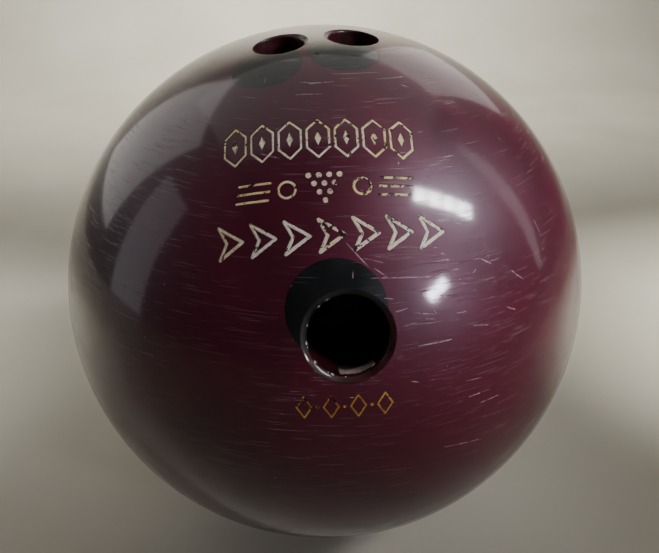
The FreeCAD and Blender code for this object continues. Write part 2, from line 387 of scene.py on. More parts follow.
def makeBrokenSkin(name, pale, stained):
    # the bright floor of a scratch or chip
    look = brokenLook
    material, tree, shader, place = newMaterial(name)
    grain = noiseField(tree, place, look["grainScale"], 4.0, 0.6)
    feed(tree, shader, {
        "Base Color": mixColour(tree, span(tree, grain, 0.36, 0.62), stained, pale),
        "Roughness": span(tree, grain, 0.3, 0.7, *look["haze"])})
    bumped(tree, shader, noiseField(tree, place, look["roughScale"], 3.0), look["rough"])
    return material


creamLook = {"fresh": (0.72, 0.64, 0.54), "aged": (0.66, 0.52, 0.22), "grime": (0.20, 0.11, 0.10),
             "bare": (0.03, 0.004, 0.008), "ageScale": 42.0, "chipScale": 460.0, "chips": 0.60,
             "wornScale": 38.0, "worn": 0.09, "roughness": 0.5, "metallic": 0.0}
goldLook = {"fresh": (0.80, 0.48, 0.10), "aged": (0.58, 0.26, 0.04), "grime": (0.10, 0.02, 0.012),
            "bare": (0.03, 0.003, 0.006), "ageScale": 95.0, "chipScale": 520.0, "chips": 0.60,
            "wornScale": 90.0, "worn": 0.08, "roughness": 0.42, "metallic": 0.35}
paintGrain = {"grimeScale": 640.0, "grimeStrength": 0.65, "scale": 1500.0, "depth": 0.00008,
              "bareRoughness": 0.3}


def makePaint(name, look):
    # dried paint in an engraved line: uneven, yellowed in places, chipped down to the groove
    material, tree, shader, place = newMaterial(name)
    age = span(tree, noiseField(tree, place, look["ageScale"], 3.0), 0.38, 0.62)
    colour = mixColour(tree, age, look["fresh"], look["aged"])
    grime = span(tree, noiseField(tree, place, paintGrain["grimeScale"], 5.0, 0.65), 0.5, 0.74)
    grime = mathNode(tree, "MULTIPLY", grime, paintGrain["grimeStrength"])
    colour = mixColour(tree, grime, colour, look["grime"])
    # whole stretches are worn thinner than others
    worn = span(tree, noiseField(tree, place, look["wornScale"], 1.0), 0.46, 0.66)
    broken = mathNode(tree, "ADD", noiseField(tree, place, look["chipScale"], 3.0, 0.6),
                      mathNode(tree, "MULTIPLY", worn, look["worn"]))
    chips = span(tree, broken, look["chips"], look["chips"] + 0.03)
    feed(tree, shader, {
        "Base Color": mixColour(tree, chips, colour, look["bare"]),
        "Roughness": span(tree, chips, 0, 1, look["roughness"], paintGrain["bareRoughness"]),
        "Metallic": look["metallic"]})
    height = mathNode(tree, "SUBTRACT", noiseField(tree, place, paintGrain["scale"], 3.0), chips)
    bumped(tree, shader, height, paintGrain["depth"])
    return material


tapeLook = {
    "cloth": (0.36, 0.27, 0.24), "dirty": (0.13, 0.07, 0.065), "thread": (0.46, 0.38, 0.34),
    # the near-black colour and the two depths below the tape's top are painted shade for the tape deep in the
    # hole
    "paintedHoleShade": (0.018, 0.010, 0.010), "threadScale": 320.0, "threadWander": 1.2, "threadShow": 0.35,
    "dirtScale": 180.0, "shadeStartsDown": 2.0, "shadeFullDown": 5.5, "shadeEdgeRagged": 2.5, "weaveDepth": 0.00008,
}


def makeTapeCloth():
    look = tapeLook
    material, tree, shader, place = newMaterial("grubbyTape")
    threads = []
    for degrees in ((0, 0, 0), (90, 0, 0)):
        thread = addNode(tree, "ShaderNodeTexWave", {
            "Vector": turned(tree, place, degrees), "Scale": look["threadScale"],
            "Distortion": look["threadWander"]}, wave_type="BANDS", bands_direction="Z")
        threads.append(thread.outputs["Fac"])
    weave = mathNode(tree, "MAXIMUM", *threads)
    dirt = span(tree, noiseField(tree, place, look["dirtScale"], 5.0, 0.65), 0.36, 0.68)
    colour = mixColour(tree, dirt, look["cloth"], look["dirty"])
    colour = mixColour(tree, mathNode(tree, "MULTIPLY", weave, look["threadShow"]), colour, look["thread"])
    # painted shade: the tape is darker further down the hole, turning near black for the dark of the bore,
    # with an edge made ragged by the dirt noise
    along = addNode(tree, "ShaderNodeVectorMath", {0: place, 1: thumbHole["axis"]}, operation="DOT_PRODUCT")
    top = ballRadius - (thumbHole["wallStart"] + tape["belowBevel"]) * mm
    ragged = mathNode(tree, "MULTIPLY", dirt, look["shadeEdgeRagged"] * mm)
    uneven = mathNode(tree, "ADD", along.outputs["Value"], ragged)
    unshaded = span(tree, uneven, top - look["shadeFullDown"] * mm, top - look["shadeStartsDown"] * mm)
    feed(tree, shader, {
        "Base Color": mixColour(tree, unshaded, look["paintedHoleShade"], colour),
        "Roughness": span(tree, dirt, 0, 1, 0.75, 0.5)})
    bumped(tree, shader, weave, look["weaveDepth"])
    return material


polyester = makeWornPlastic("deepRedPolyester", polyesterLook)
plugResin = makeWornPlastic("blackPlugResin", plugLook)
drilledPolyester = makeDrilledWall("drilledPolyester", (0.012, 0.0008, 0.0020), (0.050, 0.0022, 0.0060))
drilledResin = makeDrilledWall("drilledResin", (0.004, 0.0045, 0.005), (0.014, 0.015, 0.016))
coreFiller = makeDrilledWall("darkCoreFiller", (0.010, 0.009, 0.010), (0.034, 0.030, 0.030), 900.0)
blockResin = makeDrilledWall("denseBlockResin", (0.012, 0.011, 0.009), (0.042, 0.036, 0.026), 700.0)
# chip faces are pale partly as broken resin and partly as painted highlight for glints on rough edges
chipFace = makeBrokenSkin("chipFace", (0.70, 0.62, 0.63), (0.20, 0.13, 0.14))
scratchFloor = makeBrokenSkin("scratchFloor", (0.34, 0.21, 0.25), (0.10, 0.035, 0.055))
creamPaint = makePaint("creamPaint", creamLook)
goldPaint = makePaint("goldPaint", goldLook)
tapeCloth = makeTapeCloth()
print("materials made")


# hole cutters: a turned profile with a rounded, slightly uneven bevel

def turnedTool(name, mouth, axis, profile, segments, material, wobble=0.0, bevelFrom=None):
    side = axis.orthogonal().normalized()
    across = axis.cross(side)
    points = [mouth + axis * profile[0][1] * mm]
    for radius, height in profile[1:-1]:
        for step in range(segments):
            angle = 2 * math.pi * step / segments
            out = side * math.cos(angle) + across * math.sin(angle)
            swell = 0.0
            if bevelFrom is not None and height >= bevelFrom:
                swell = wobble * (noise.noise(out * 2.3) + 0.5 * noise.noise(out * 9.0))
            points.append(mouth + axis * height * mm + out * (radius + swell) * mm)
    points.append(mouth + axis * profile[-1][1] * mm)
    return tidyMesh(meshObject(name, points, cappedFaces(len(profile) - 2, segments), material, toolShelf))


# every cutter stands out of the skin, and a bore's goes on widening past its bevel
cutter = {"boreRings": 12, "boreFlare": 5.0, "boreRise": 3.2, "plugRings": 8, "plugRise": 4.0,
          "plugSegments": 128}


def boreTool(name, hole, bevel, material):
    radius, start = hole["radius"], -hole["wallStart"]
    lip = radius + bevel["width"]
    sag = ballRadius / mm - math.sqrt((ballRadius / mm) ** 2 - lip ** 2)
    profile = [(0, -hole["depth"] - bevel["drillPoint"]), (radius, -hole["depth"])]
    for ring in range(1, cutter["boreRings"] + 1):
        profile.append((radius, -hole["depth"] + (start + hole["depth"]) * ring / cutter["boreRings"]))
    full = math.radians(bevel["roundTo"])
    for step in range(1, bevel["steps"] + 1):
        turn = full * step / bevel["steps"]
        profile.append((radius + bevel["width"] * (1 - math.cos(turn)) / (1 - math.cos(full)),
                        start + (-sag - start) * math.sin(turn) / math.sin(full)))
    profile.append((lip + cutter["boreFlare"], -sag + cutter["boreRise"]))
    profile.append((0, -sag + cutter["boreRise"]))
    return turnedTool(name, hole["mouth"], hole["axis"], profile, bevel["segments"], material,
                      bevel["wobble"], start + 0.01)


thumbBevel = {"width": 2.1, "steps": 8, "roundTo": 66, "segments": 128, "wobble": 0.16, "drillPoint": 2.5}
fingerBevel = {"width": 0.8, "steps": 5, "roundTo": 70, "segments": 96, "wobble": 0.08, "drillPoint": 2.5}


def plugTool(name, place, axis, size, material, shrink):
    radius, depth = size[0] / 2 - shrink, size[1]
    profile = [(0, -depth - oldGrip["drillPoint"] + shrink), (radius, -depth + shrink)]
    for ring in range(1, cutter["plugRings"] + 1):
        profile.append((radius, -depth + (depth + cutter["plugRise"]) * ring / cutter["plugRings"]))
    profile.append((0, cutter["plugRise"]))
    return turnedTool(name, place * ballRadius, axis, profile, cutter["plugSegments"], material)


# engraving: every figure is drawn flat at its row's middle, then laid on the ball

class Row:
    def __init__(self, distance, bearing, tilt):
        self.middle = stepOff(thumbPlace, bearing, distance)
        upward, rightward = compass(self.middle)
        turn = math.radians(tilt)
        self.along = (rightward * math.cos(turn) + upward * math.sin(turn)).normalized()
        self.across = self.middle.cross(self.along)

    def lay(self, point, height):
        x, y = point[0] * mm, point[1] * mm
        reach = (ballRadius + height * mm) ** 2 - x * x - y * y
        return self.along * x + self.across * y + self.middle * math.sqrt(reach)


rows = {
    "upper": {"distance": 61.9, "bearing": -6.5, "tilt": 3.8, "count": 7, "pitch": 8.6,
              "width": 6.8, "height": 13.4, "shoulder": 3.4, "stroke": 0.85,
              "coreWidth": 2.2, "coreHeight": 5.6},
    "middle": {"distance": 45.1, "bearing": -7.1, "tilt": 3.2, "rackRows": 4, "rackPitch": 3.1,
               "dot": 1.9, "ring": 6.0, "ringOffset": 11.2, "bar": 10.5, "barOffset": 21.4,
               "barLines": 3, "barLinePitch": 2.7, "barShift": 0.5, "stroke": 0.9},
    "lower": {"distance": 30.4, "bearing": -7.4, "tilt": 2.8, "count": 7, "pitch": 10.1,
              "width": 7.4, "height": 9.6, "notch": 2.4, "stroke": 1.15},
    "owner": {"distance": 21.8, "bearing": -176.5, "tilt": 1.3, "count": 4, "pitch": 8.2,
              "width": 4.6, "height": 7.2, "dot": 1.1, "stroke": 0.6},
}
paintOverlap = 0.006
# across the stroke from 1 (outer edge) to -1, with the height over the skin
grooveSection = [(1, 0.8), (1, -0.36), (0.62, -0.5), (-0.62, -0.5), (-1, -0.36), (-1, 0.8)]
paintSection = [(1, -0.24), (0.78, -0.15), (0.3, -0.12), (-0.3, -0.12), (-0.78, -0.15), (-1, -0.24),
                (-1, -0.36), (-0.62, -0.5), (0.62, -0.5), (1, -0.36)]


def longEdgesSplit(outline, longest=1.6):
    points = []
    for index, start in enumerate(outline):
        end = outline[(index + 1) % len(outline)]
        pieces = max(1, math.ceil((Vector(end) - Vector(start)).length / longest))
        for step in range(pieces):
            points.append(Vector(start).lerp(Vector(end), step / pieces))
    return points


def strokeStations(outline):
    # each station has a point, and how far to go for one unit outwards and one inwards
    points = longEdgesSplit(outline)
    stations = []
    for index, point in enumerate(points):
        before = (point - points[index - 1]).normalized()
        after = (points[(index + 1) % len(points)] - point).normalized()
        normalBefore, normalAfter = Vector((before.y, -before.x)), Vector((after.y, -after.x))
        mitre = (normalBefore + normalAfter) / (1 + normalBefore.dot(normalAfter))
        bend = math.atan2(before.x * after.y - before.y * after.x, before.dot(after))
        samples = max(1, math.ceil(abs(math.degrees(bend)) / 22))
        if samples == 1:
            stations.append((point, mitre, mitre))
            continue
        for step in range(samples + 1):
            angle = bend * step / samples
            spun = Vector((normalBefore.x * math.cos(angle) - normalBefore.y * math.sin(angle),
                           normalBefore.x * math.sin(angle) + normalBefore.y * math.cos(angle)))
            stations.append((point, spun, mitre) if bend > 0 else (point, mitre, spun))
    return stations


def strokeCell(row, outline, stroke, section):
    # a closed line of even width, swept round the outline
    points = []
    stations = strokeStations(outline)
    for point, outward, inward in stations:
        for fraction, height in section:
            reach = fraction * stroke / 2
            points.append(row.lay(point + (outward if reach > 0 else inward) * reach, height))
    return points, sweptFaces(len(section), len(stations))


def barCell(row, length, stroke, section, centre=(0.0, 0.0)):
    # an open line with round ends: its width shrinks over the last half stroke
    half = stroke / 2
    straight = length / 2 - half
    ends = [(straight + half * math.sin(turn), math.cos(turn)) for turn in
            (math.radians(angle) for angle in (25, 48, 66, 80, 88))]
    pieces = 8
    line = [(-straight + 2 * straight * step / pieces, 1.0) for step in range(pieces + 1)]
    stations = [(-x, width) for x, width in reversed(ends)] + line + ends
    points = []
    for x, width in stations:
        for fraction, height in section:
            points.append(row.lay((centre[0] + x, centre[1] + fraction * half * width), height))
    return points, sweptFaces(len(section), len(stations), closed=False)


def plateCell(row, outline, section, inset, centre=(0, 0)):
    # a small filled shape: the section's outer half, from the top's middle to the bottom's
    half = [(fraction, height) for fraction, height in section if fraction > 0]
    if half[0][1] < half[-1][1]:
        half.reverse()
    outline = [Vector(point) for point in outline]
    points = [row.lay(centre, half[0][1])]
    for fraction, height in half:
        for point in outline:
            reach = max(point.length - (1 - fraction) * inset, point.length * 0.15)
            points.append(row.lay(Vector(centre) + point.normalized() * reach, height))
    points.append(row.lay(centre, half[-1][1]))
    return points, cappedFaces(len(half), len(outline))


def together(cells):
    points, faces = [], []
    for cellPoints, cellFaces in cells:
        base = len(points)
        points.extend(cellPoints)
        faces.extend(tuple(base + index for index in face) for face in cellFaces)
    return points, faces


def circleOutline(diameter, sides):
    turns = [2 * math.pi * step / sides for step in range(sides)]
    return [(diameter / 2 * math.cos(turn), diameter / 2 * math.sin(turn)) for turn in turns]


def lozengeOutline(width, height):
    return [(width / 2, 0), (0, height / 2), (-width / 2, 0), (0, -height / 2)]


def hexagonOutline(width, height, shoulder):
    side = height / 2 - shoulder
    return [(width / 2, -side), (width / 2, side), (0, height / 2),
            (-width / 2, side), (-width / 2, -side), (0, -height / 2)]


def arrowOutline(width, height, notch):
    return [(width / 2, 0), (-width / 2, height / 2), (-width / 2 + notch, 0), (-width / 2, -height / 2)]


def makeRepeatTree():
    # copies of one figure, turned about the ball's centre by an even step
    tree, entry, out = newTree("Figures along a row", (
        ("Figure", "Object"), ("Count", "Int"), ("Step", "Float"), ("Axis", "Vector"),
        ("Material", "Material")))
    points = addNode(tree, "GeometryNodePoints", {"Count": entry["Count"]})
    index = addNode(tree, "GeometryNodeInputIndex").outputs[0]
    last = mathNode(tree, "SUBTRACT", entry["Count"], 1.0)
    fromMiddle = mathNode(tree, "SUBTRACT", index, mathNode(tree, "MULTIPLY", last, 0.5))
    turn = addNode(tree, "FunctionNodeAxisAngleToRotation", {
        "Axis": entry["Axis"], "Angle": mathNode(tree, "MULTIPLY", fromMiddle, entry["Step"])})
    figure = addNode(tree, "GeometryNodeObjectInfo", {"Object": entry["Figure"]})
    copies = addNode(tree, "GeometryNodeInstanceOnPoints", {
        "Points": points.outputs[0], "Instance": figure.outputs["Geometry"], "Rotation": turn.outputs[0]})
    real = addNode(tree, "GeometryNodeRealizeInstances", {0: copies.outputs[0]})
    paint = addNode(tree, "GeometryNodeSetMaterial", {
        "Geometry": real.outputs[0], "Material": entry["Material"]})
    feed(tree, out, {0: paint.outputs[0]})
    return tree


repeatTree = makeRepeatTree()


def layRow(name, row, cells, material):
    # cells is a list of (figure, count, pitch): one tree run each, then one plain mesh
    strips = []
    for number, (figure, count, pitch) in enumerate(cells):
        template = tidyMesh(meshObject(f"{name}.figure{number}", *figure, shelf=toolShelf))
        strip = runTree(f"{name}.strip{number}", repeatTree, {
            "Figure": template, "Count": count, "Step": pitch * mm / ballRadius,
            "Axis": list(row.across), "Material": material}, toolShelf)
        mesh = settle(strip).data
        strips.append(([vertex.co.copy() for vertex in mesh.vertices],
                       [tuple(polygon.vertices) for polygon in mesh.polygons]))
    return together(strips)


def rowFigures(key, section, stroke):
    size, row = rows[key], places[key]
    if key == "upper":
        frameLine = hexagonOutline(size["width"], size["height"], size["shoulder"])
        core = longEdgesSplit(lozengeOutline(size["coreWidth"], size["coreHeight"]))
        cell = together([strokeCell(row, frameLine, stroke, section), plateCell(row, core, section, 0.45)])
        return [(cell, size["count"], size["pitch"])]
    if key == "middle":
        dots = []
        rackRows, rackPitch = size["rackRows"], size["rackPitch"]
        rowStep = rackPitch * math.sqrt(3) / 2
        for line in range(rackRows):
            height = ((rackRows - 1) / 2 - line) * rowStep
            for index in range(rackRows - line):
                offset = (index - (rackRows - line - 1) / 2) * rackPitch
                dots.append(plateCell(row, circleOutline(size["dot"], 20), section, 0.5, (offset, height)))
        ring = strokeCell(row, circleOutline(size["ring"] - size["stroke"], 40), stroke, section)
        bars = []
        for line in range(size["barLines"]):
            step = (size["barLines"] - 1) / 2 - line
            bars.append(barCell(row, size["bar"], stroke, section,
                                (step * size["barShift"], step * size["barLinePitch"])))
        return [(together(dots), 1, 0.0), (ring, 2, 2 * size["ringOffset"]),
                (together(bars), 2, 2 * size["barOffset"])]
    if key == "lower":
        outline = arrowOutline(size["width"], size["height"], size["notch"])
        return [(strokeCell(row, outline, stroke, section), size["count"], size["pitch"])]
    lozenge = strokeCell(row, lozengeOutline(size["width"], size["height"]), stroke, section)
    dot = plateCell(row, circleOutline(size["dot"], 16), section, 0.3)
    return [(lozenge, size["count"], size["pitch"]), (dot, size["count"] - 1, size["pitch"])]


places = {key: Row(size["distance"], size["bearing"], size["tilt"]) for key, size in rows.items()}
for key, size in rows.items():
    groove = rowFigures(key, grooveSection, size["stroke"])
    meshObject(f"groove.{key}", *layRow(f"groove.{key}", places[key], groove, drilledPolyester),
               material=drilledPolyester, shelf=toolShelf)
print("engraving laid out")


# wear: long scratches, a band of rubbing marks and small pits, cut into the skin

scratchShape = {"station": 1.4, "rise": 0.3, "lift": 0.02, "uneven": 0.35, "sway": 0.25}


def scratchTool(name, length, width, depth, shelf):
    # a thin wedge that follows the skin, at the -Y side of the ball, lying along X
    stations = max(6, round(length / scratchShape["station"]))
    rise, lift = scratchShape["rise"], scratchShape["lift"]
    spread = (rise + depth) / depth * width / 2
    points, faces = [], []
    for step in range(stations + 1):
        angle = (step / stations - 0.5) * length * mm / ballRadius
        swell = math.sqrt(max(0.0, 1 - (2 * step / stations - 1) ** 2))
        swell *= 1 + scratchShape["uneven"] * wander(step * 0.9, length, width * 10)
        sway = upZ * scratchShape["sway"] * width * wander(step * 0.5, width * 7, length) * mm
        sink = (depth + lift) * swell - lift
        out = Vector((math.sin(angle), -math.cos(angle), 0))
        points.append(out * (ballRadius + rise * mm) - upZ * spread * mm + sway)
        points.append(out * (ballRadius + rise * mm) + upZ * spread * mm + sway)
        points.append(out * (ballRadius - sink * mm) + sway)
    for step in range(stations):
        low, high = 3 * step, 3 * step + 3
        faces += [(low, high, high + 1, low + 1), (low + 1, high + 1, high + 2, low + 2),
                  (low + 2, high + 2, high, low)]
    faces += [(0, 1, 2), (3 * stations + 2, 3 * stations + 1, 3 * stations)]
    return tidyMesh(meshObject(name, points, faces, scratchFloor, shelf))


def pitTool(name, diameter, depth, shelf):
    # a small rough pebble that dips into the skin at the -Y side
    mesh = roundMesh(name, diameter / 2 * mm, 1, scratchFloor)
    for vertex in mesh.vertices:
        vertex.co += noise.noise_vector(vertex.co * 4000) * diameter * 0.12 * mm
        vertex.co.y -= ballRadius + (diameter / 2 - depth) * mm
    return newPiece(name, mesh, shelf)


def makeScatterTree():
    # the tools of a collection, spun about the ball's centre to random places
    tree, entry, out = newTree("Wear over the ball", (
        ("Tools", "Collection"), ("Kinds", "Int"), ("Count", "Int"), ("Seed", "Int"),
        ("Lowest", "Vector"), ("Highest", "Vector"), ("Heading", "Float"), ("Heading Spread", "Float")))
    points = addNode(tree, "GeometryNodePoints", {"Count": entry["Count"]})
    seed = entry["Seed"]
    aim = addNode(tree, "FunctionNodeRandomValue", {
        "Min": entry["Lowest"], "Max": entry["Highest"], "Seed": seed}, data_type="FLOAT_VECTOR")
    away = addNode(tree, "ShaderNodeVectorMath", {0: aim.outputs[0], "Scale": -1.0}, operation="SCALE")
    # first the tool's -Y turns to the place, with its Z kept as near to up as it can be
    facing = addNode(tree, "FunctionNodeAlignRotationToVector", {"Vector": away.outputs[0]}, axis="Y")
    level = addNode(tree, "FunctionNodeAlignRotationToVector", {
        "Rotation": facing.outputs[0], "Vector": (0, 0, 1)}, axis="Z", pivot_axis="Y")
    heading, spread = entry["Heading"], entry["Heading Spread"]
    swing = addNode(tree, "FunctionNodeRandomValue", {
        2: mathNode(tree, "SUBTRACT", heading, spread), 3: mathNode(tree, "ADD", heading, spread),
        "Seed": seed}, data_type="FLOAT")
    spin = addNode(tree, "FunctionNodeAxisAngleToRotation", {"Axis": (0, -1, 0), "Angle": swing.outputs[1]})
    turn = addNode(tree, "FunctionNodeRotateRotation", {
        "Rotation": level.outputs[0], "Rotate By": spin.outputs[0]}, rotation_space="LOCAL")
    lastKind = mathNode(tree, "SUBTRACT", entry["Kinds"], 1.0)
    pick = addNode(tree, "FunctionNodeRandomValue", {4: 0, 5: lastKind, "Seed": seed}, data_type="INT")
    tools = addNode(tree, "GeometryNodeCollectionInfo", {
        "Collection": entry["Tools"], "Separate Children": True})
    copies = addNode(tree, "GeometryNodeInstanceOnPoints", {
        "Points": points.outputs[0], "Instance": tools.outputs[0], "Pick Instance": True,
        "Instance Index": pick.outputs[2], "Rotation": turn.outputs[0]})
    feed(tree, out, {0: copies.outputs[0]})
    return tree


wearTools = {
    "long": {"lengths": (9, 14, 20, 28), "width": 0.34, "depth": 0.08},
    "short": {"lengths": (2.5, 4, 6, 8), "width": 0.27, "depth": 0.065},
    "pits": {"sizes": (0.4, 0.55, 0.7, 1.0), "depth": 0.12},
}
everywhere = {"low": (-1, -1, -1), "high": (1, 1, 1), "heading": 0, "spread": 180}
wearPatches = [
    # tools, count, seed, lowest and highest direction, heading and its spread in degrees
    {**everywhere, "tools": "short", "count": 130, "seed": 11},
    {**everywhere, "tools": "long", "count": 34, "seed": 5},
    {**everywhere, "tools": "pits", "count": 150, "seed": 21},
    # the right-hand side as it lies has rubbed along the lane's return the most
    {"tools": "short", "count": 64, "seed": 8, "low": (0.10, -0.95, -0.20), "high": (0.75, -0.75, 0.50),
     "heading": -8, "spread": 26},
    {"tools": "long", "count": 12, "seed": 3, "low": (0.12, -0.95, -0.10), "high": (0.7, -0.78, 0.50),
     "heading": -6, "spread": 24},
    {"tools": "short", "count": 22, "seed": 44, "low": (0.15, -0.9, -0.15), "high": (0.9, -0.5, 0.7),
     "heading": -35, "spread": 20},
    {"tools": "pits", "count": 26, "seed": 13, "low": (0.3, -0.9, -0.15), "high": (0.6, -0.7, 0.15),
     "heading": 0, "spread": 180},
    {"tools": "short", "count": 30, "seed": 17, "low": (-0.5, -0.8, 0.3), "high": (0.5, -0.2, 0.95),
     "heading": 8, "spread": 22},
    {"tools": "pits", "count": 40, "seed": 31, "low": (-0.6, -0.8, 0.2), "high": (0.6, 0.0, 0.95),
     "heading": 0, "spread": 180},
]
# the marks that stand out: bearing and height of the middle, rise to the right, length and width in mm
markDepth = 0.09
marks = [
    (2, 31, -50, 12.7, 0.40), (10, 27, -5, 28.9, 0.38), (5, 30, -17, 7.9, 0.34), (9, 22, 10, 5.1, 0.40),
    (15, 16, 0, 15.4, 0.42), (23, 5, 1, 10.7, 0.40), (25, 3, 2, 11.6, 0.40), (22, 8, -5, 8.2, 0.36),
    (21, -5, -8, 19.4, 0.42), (34, 23, -42, 8.9, 0.40), (27, 27, -33, 6.2, 0.34), (31, 18, -28, 4.9, 0.50),
    (24, 17, -14, 8.3, 0.34), (14, 20, -9, 4.6, 0.36), (13, 21, -11, 8.7, 0.32), (20, 20, -2, 5.1, 0.36),
    (-9, 60, 4, 10.8, 0.38), (-5, 63, 8, 10.7, 0.34), (-17, 47, -10, 9.9, 0.50), (1, 28, -93, 4.3, 0.34),
    (11, 10, -14, 4.3, 0.36), (7, 24, -9, 4.2, 0.32), (6, 28, -39, 7.2, 0.32), (24, 26, 32, 2.2, 0.30),
    (15, 21, -50, 3.7, 0.32), (26, 61, -38, 4.2, 0.30), (-27, 63, 104, 3.6, 0.30), (23, 34, -17, 2.9, 0.30),
    (44, 29, 101, 9.6, 0.28),
]


def makeWear():
    shelves = {}
    for kind, size in wearTools.items():
        shelf = bpy.data.collections.new(f"wear.{kind}")
        scene.collection.children.link(shelf)
        shelves[kind] = shelf
        for number, value in enumerate(size.get("lengths", ())):
            scratchTool(f"scratch.{kind}{number}", value, size["width"], size["depth"], shelf)
        for number, value in enumerate(size.get("sizes", ())):
            pitTool(f"pit.{number}", value, size["depth"], shelf)
    for number, (bearing, height, heading, length, width) in enumerate(marks):
        mark = scratchTool(f"mark{number}", length, width, markDepth, toolShelf)
        turn = Matrix.Rotation(math.radians(bearing), 3, "Z")
        turn = turn @ Matrix.Rotation(math.radians(-height), 3, "X")
        turn = turn @ Matrix.Rotation(math.radians(-heading), 3, "Y")
        mark.data.transform(turn.to_4x4())
    tree = makeScatterTree()
    for number, patch in enumerate(wearPatches):
        runTree(f"wearPatch{number}", tree, {
            "Tools": shelves[patch["tools"]], "Kinds": 4, "Count": patch["count"], "Seed": patch["seed"],
            "Lowest": patch["low"], "Highest": patch["high"],
            "Heading": math.radians(patch["heading"]),
            "Heading Spread": math.radians(patch["spread"])}, toolShelf)
    return shelves


wearShelves = makeWear()


def makeCarveTree():
    # a blank with every tool on the shelf cut away; what is left of the old skin keeps its finish
    tree, entry, out = newTree("Carved blank", (
        ("Blank", "Object"), ("Tools", "Collection"), ("Skin", "Material"), ("Skin Radius", "Float")))
    blank = addNode(tree, "GeometryNodeObjectInfo", {"Object": entry["Blank"]})
    tools = addNode(tree, "GeometryNodeCollectionInfo", {
        "Collection": entry["Tools"], "Separate Children": True})
    cut = addNode(tree, "GeometryNodeMeshBoolean", {
        "Mesh 1": blank.outputs["Geometry"], "Mesh 2": tools.outputs[0]},
        operation="DIFFERENCE", solver="MANIFOLD")
    real = addNode(tree, "GeometryNodeRealizeInstances", {0: cut.outputs["Mesh"]})
    spot = addNode(tree, "GeometryNodeInputPosition").outputs[0]
    reach = addNode(tree, "ShaderNodeVectorMath", {0: spot}, operation="LENGTH")
    onSkin = mathNode(tree, "GREATER_THAN", reach.outputs["Value"], entry["Skin Radius"])
    finish = addNode(tree, "GeometryNodeSetMaterial", {
        "Geometry": real.outputs[0], "Selection": onSkin, "Material": entry["Skin"]})
    feed(tree, out, {0: finish.outputs[0]})
    return tree


carveTree = makeCarveTree()
print("wear laid out")


def sphereBlank(name, radius, detail, material):
    return newPiece(name, roundMesh(name, radius, detail, material))


def booleanWith(piece, other, operation):
    modifier = piece.modifiers.new(other.name, "BOOLEAN")
    modifier.operation = operation
    modifier.solver = "MANIFOLD"
    modifier.material_mode = "TRANSFER"
    modifier.object = other


# how far below the ball's radius a skin face, its corners and a kept finish may lie
skinDepth = {"face": 0.02, "corner": 0.012, "finish": 0.018}


def finishSurface(piece, sharpAngle=28):
    # skin corners point straight out from the ball's centre, so the gloss runs on over every cut
    mesh = piece.data
    shadeSmooth(mesh, sharpAngle)
    normals = [corner.vector.copy() for corner in mesh.corner_normals]
    for polygon in mesh.polygons:
        if polygon.center.length < ballRadius - skinDepth["face"] * mm:
            continue
        for loop in polygon.loop_indices:
            spot = mesh.vertices[mesh.loops[loop].vertex_index].co
            if spot.length > ballRadius - skinDepth["corner"] * mm:
                normals[loop] = spot.normalized()
    mesh.normals_split_custom_set([tuple(normal) for normal in normals])


def dropEmptySlots(piece):
    mesh = piece.data
    used = sorted({polygon.material_index for polygon in mesh.polygons})
    kept = [mesh.materials[index] for index in used]
    order = {old: new for new, old in enumerate(used)}
    indices = [order[polygon.material_index] for polygon in mesh.polygons]
    mesh.materials.clear()
    for material in kept:
        mesh.materials.append(material)
    mesh.polygons.foreach_set("material_index", indices)


def handOver(piece, node):
    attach(piece, "root")
    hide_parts(node)


ballBuild = {"detail": 7, "innerDetail": 5, "coverThickness": 19.0, "plugGap": 0.05}

# nicks along the inner edge of the thumb hole's bevel: bearing round the hole and size in mm
nicks = [(287, 1.0), (262, 1.3), (256, 0.6), (232, 1.6), (209, 0.7), (203, 1.3), (318, 1.1), (333, 1.9),
         (97, 0.6), (184, 0.7)]
nickReach, nickRise = 0.2, 0.7
for number, (bearing, size) in enumerate(nicks):
    side = around(thumbPlace, bearing)
    spot = (thumbHole["mouth"] + side * (thumbHole["radius"] + nickReach) * mm
            - thumbHole["axis"] * (thumbHole["wallStart"] - nickRise) * mm)
    nick = pitTool(f"nick{number}", size, size / 2, toolShelf)
    # the nicks' faces take that pale colour: broken resin, with painted highlight for glints
    nick.data.materials[0] = chipFace
    for vertex in nick.data.vertices:
        vertex.co.y += ballRadius
    nick.data.transform(Matrix.Translation(spot) @ side.to_track_quat("X", "Z").to_matrix().to_4x4())

boreTool("bore.thumb", thumbHole, thumbBevel, drilledPolyester)
boreTool("bore.left", leftHole, fingerBevel, drilledPolyester)
boreTool("bore.right", rightHole, fingerBevel, drilledPolyester)
thumbSize = oldGrip["thumbDiameter"], oldGrip["thumbDepth"]
fingerSize = oldGrip["fingerDiameter"], oldGrip["fingerDepth"]
plugPlans = [
    ("thumbPlug", "thumb_plug", oldThumbPlace, oldThumbPlace, thumbSize),
    ("leftFingerPlug", "left_finger_plug", oldLeftPlace, oldLeftAxis, fingerSize),
    ("rightFingerPlug", "right_finger_plug", oldRightPlace, oldRightAxis, fingerSize),
]


def carve(name, blank, skin):
    piece = runTree(name, carveTree, {
        "Blank": blank, "Tools": toolShelf, "Skin": skin,
        "Skin Radius": ballRadius - skinDepth["finish"] * mm})
    settle(piece)
    blank.hide_render = True
    dropEmptySlots(piece)
    finishSurface(piece)
    return piece


# the templates of the figures would cut too, so they leave the shelf first
for tool in list(toolShelf.objects):
    if ".figure" in tool.name or ".strip" in tool.name:
        bpy.data.objects.remove(tool)

